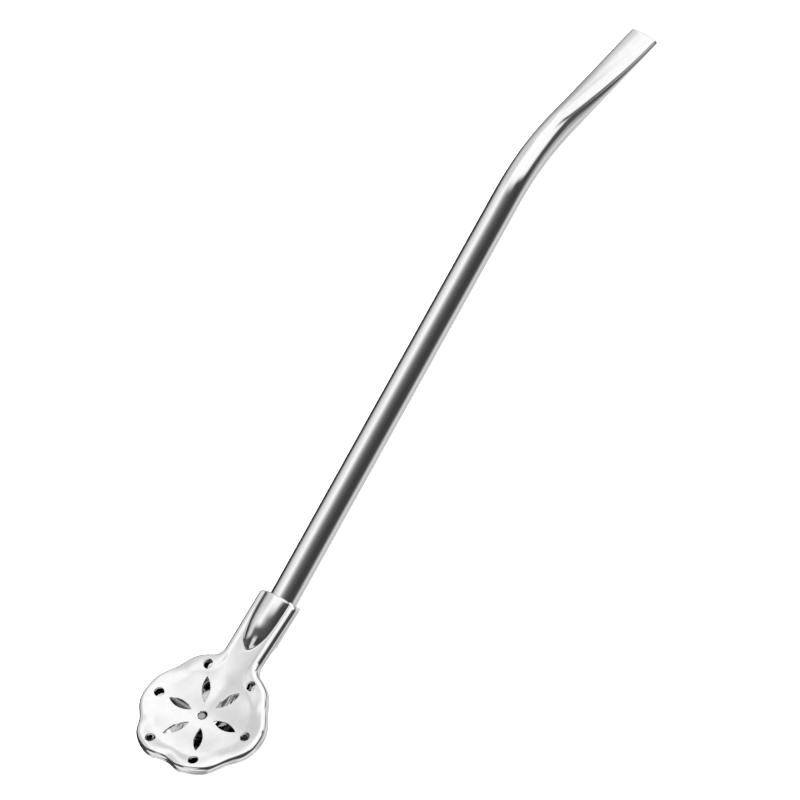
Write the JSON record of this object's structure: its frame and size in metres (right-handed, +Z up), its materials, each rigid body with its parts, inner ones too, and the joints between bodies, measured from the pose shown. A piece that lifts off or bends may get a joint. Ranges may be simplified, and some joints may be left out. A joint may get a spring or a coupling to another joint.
{
  "type": "bombilla",
  "caption": "Steel mate straw: a tube with a bent, flattened mouthpiece pushed into a lobed spoon-shaped filter head, two stamped shells pierced with a flower of slots and holes.",
  "frame": {"origin": "middle of the bounding box on the plane that the straw lies on", "axes": "+X along the straw from the filter head to the mouthpiece, +Y to the left of the flower face as seen with the mouthpiece up, +Z up out of the flower face"},
  "size_m": [0.1824, 0.03, 0.0166],
  "materials": {
    "tube_steel": "bright drawn stainless steel tube, mirror polished, with faint lengthwise draw lines",
    "shell_steel": "stamped stainless steel sheet, mirror polished"
  },
  "bodies": {
    "back_shell": {"back_shell": "shell_steel"},
    "front_shell": {"front_shell": "shell_steel"},
    "stem": {"stem": "tube_steel"}
  },
  "joints": [
    {"name": "stem_pull", "type": "slide", "parent": "back_shell", "child": "stem", "axis": [0.9956, 0, 0.0937], "range_m": [0, 0.02]},
    {"name": "front_lift", "type": "slide", "parent": "back_shell", "child": "front_shell", "axis": [-0.0937, 0, 0.9956], "range_m": [0, 0.02]}
  ]
}
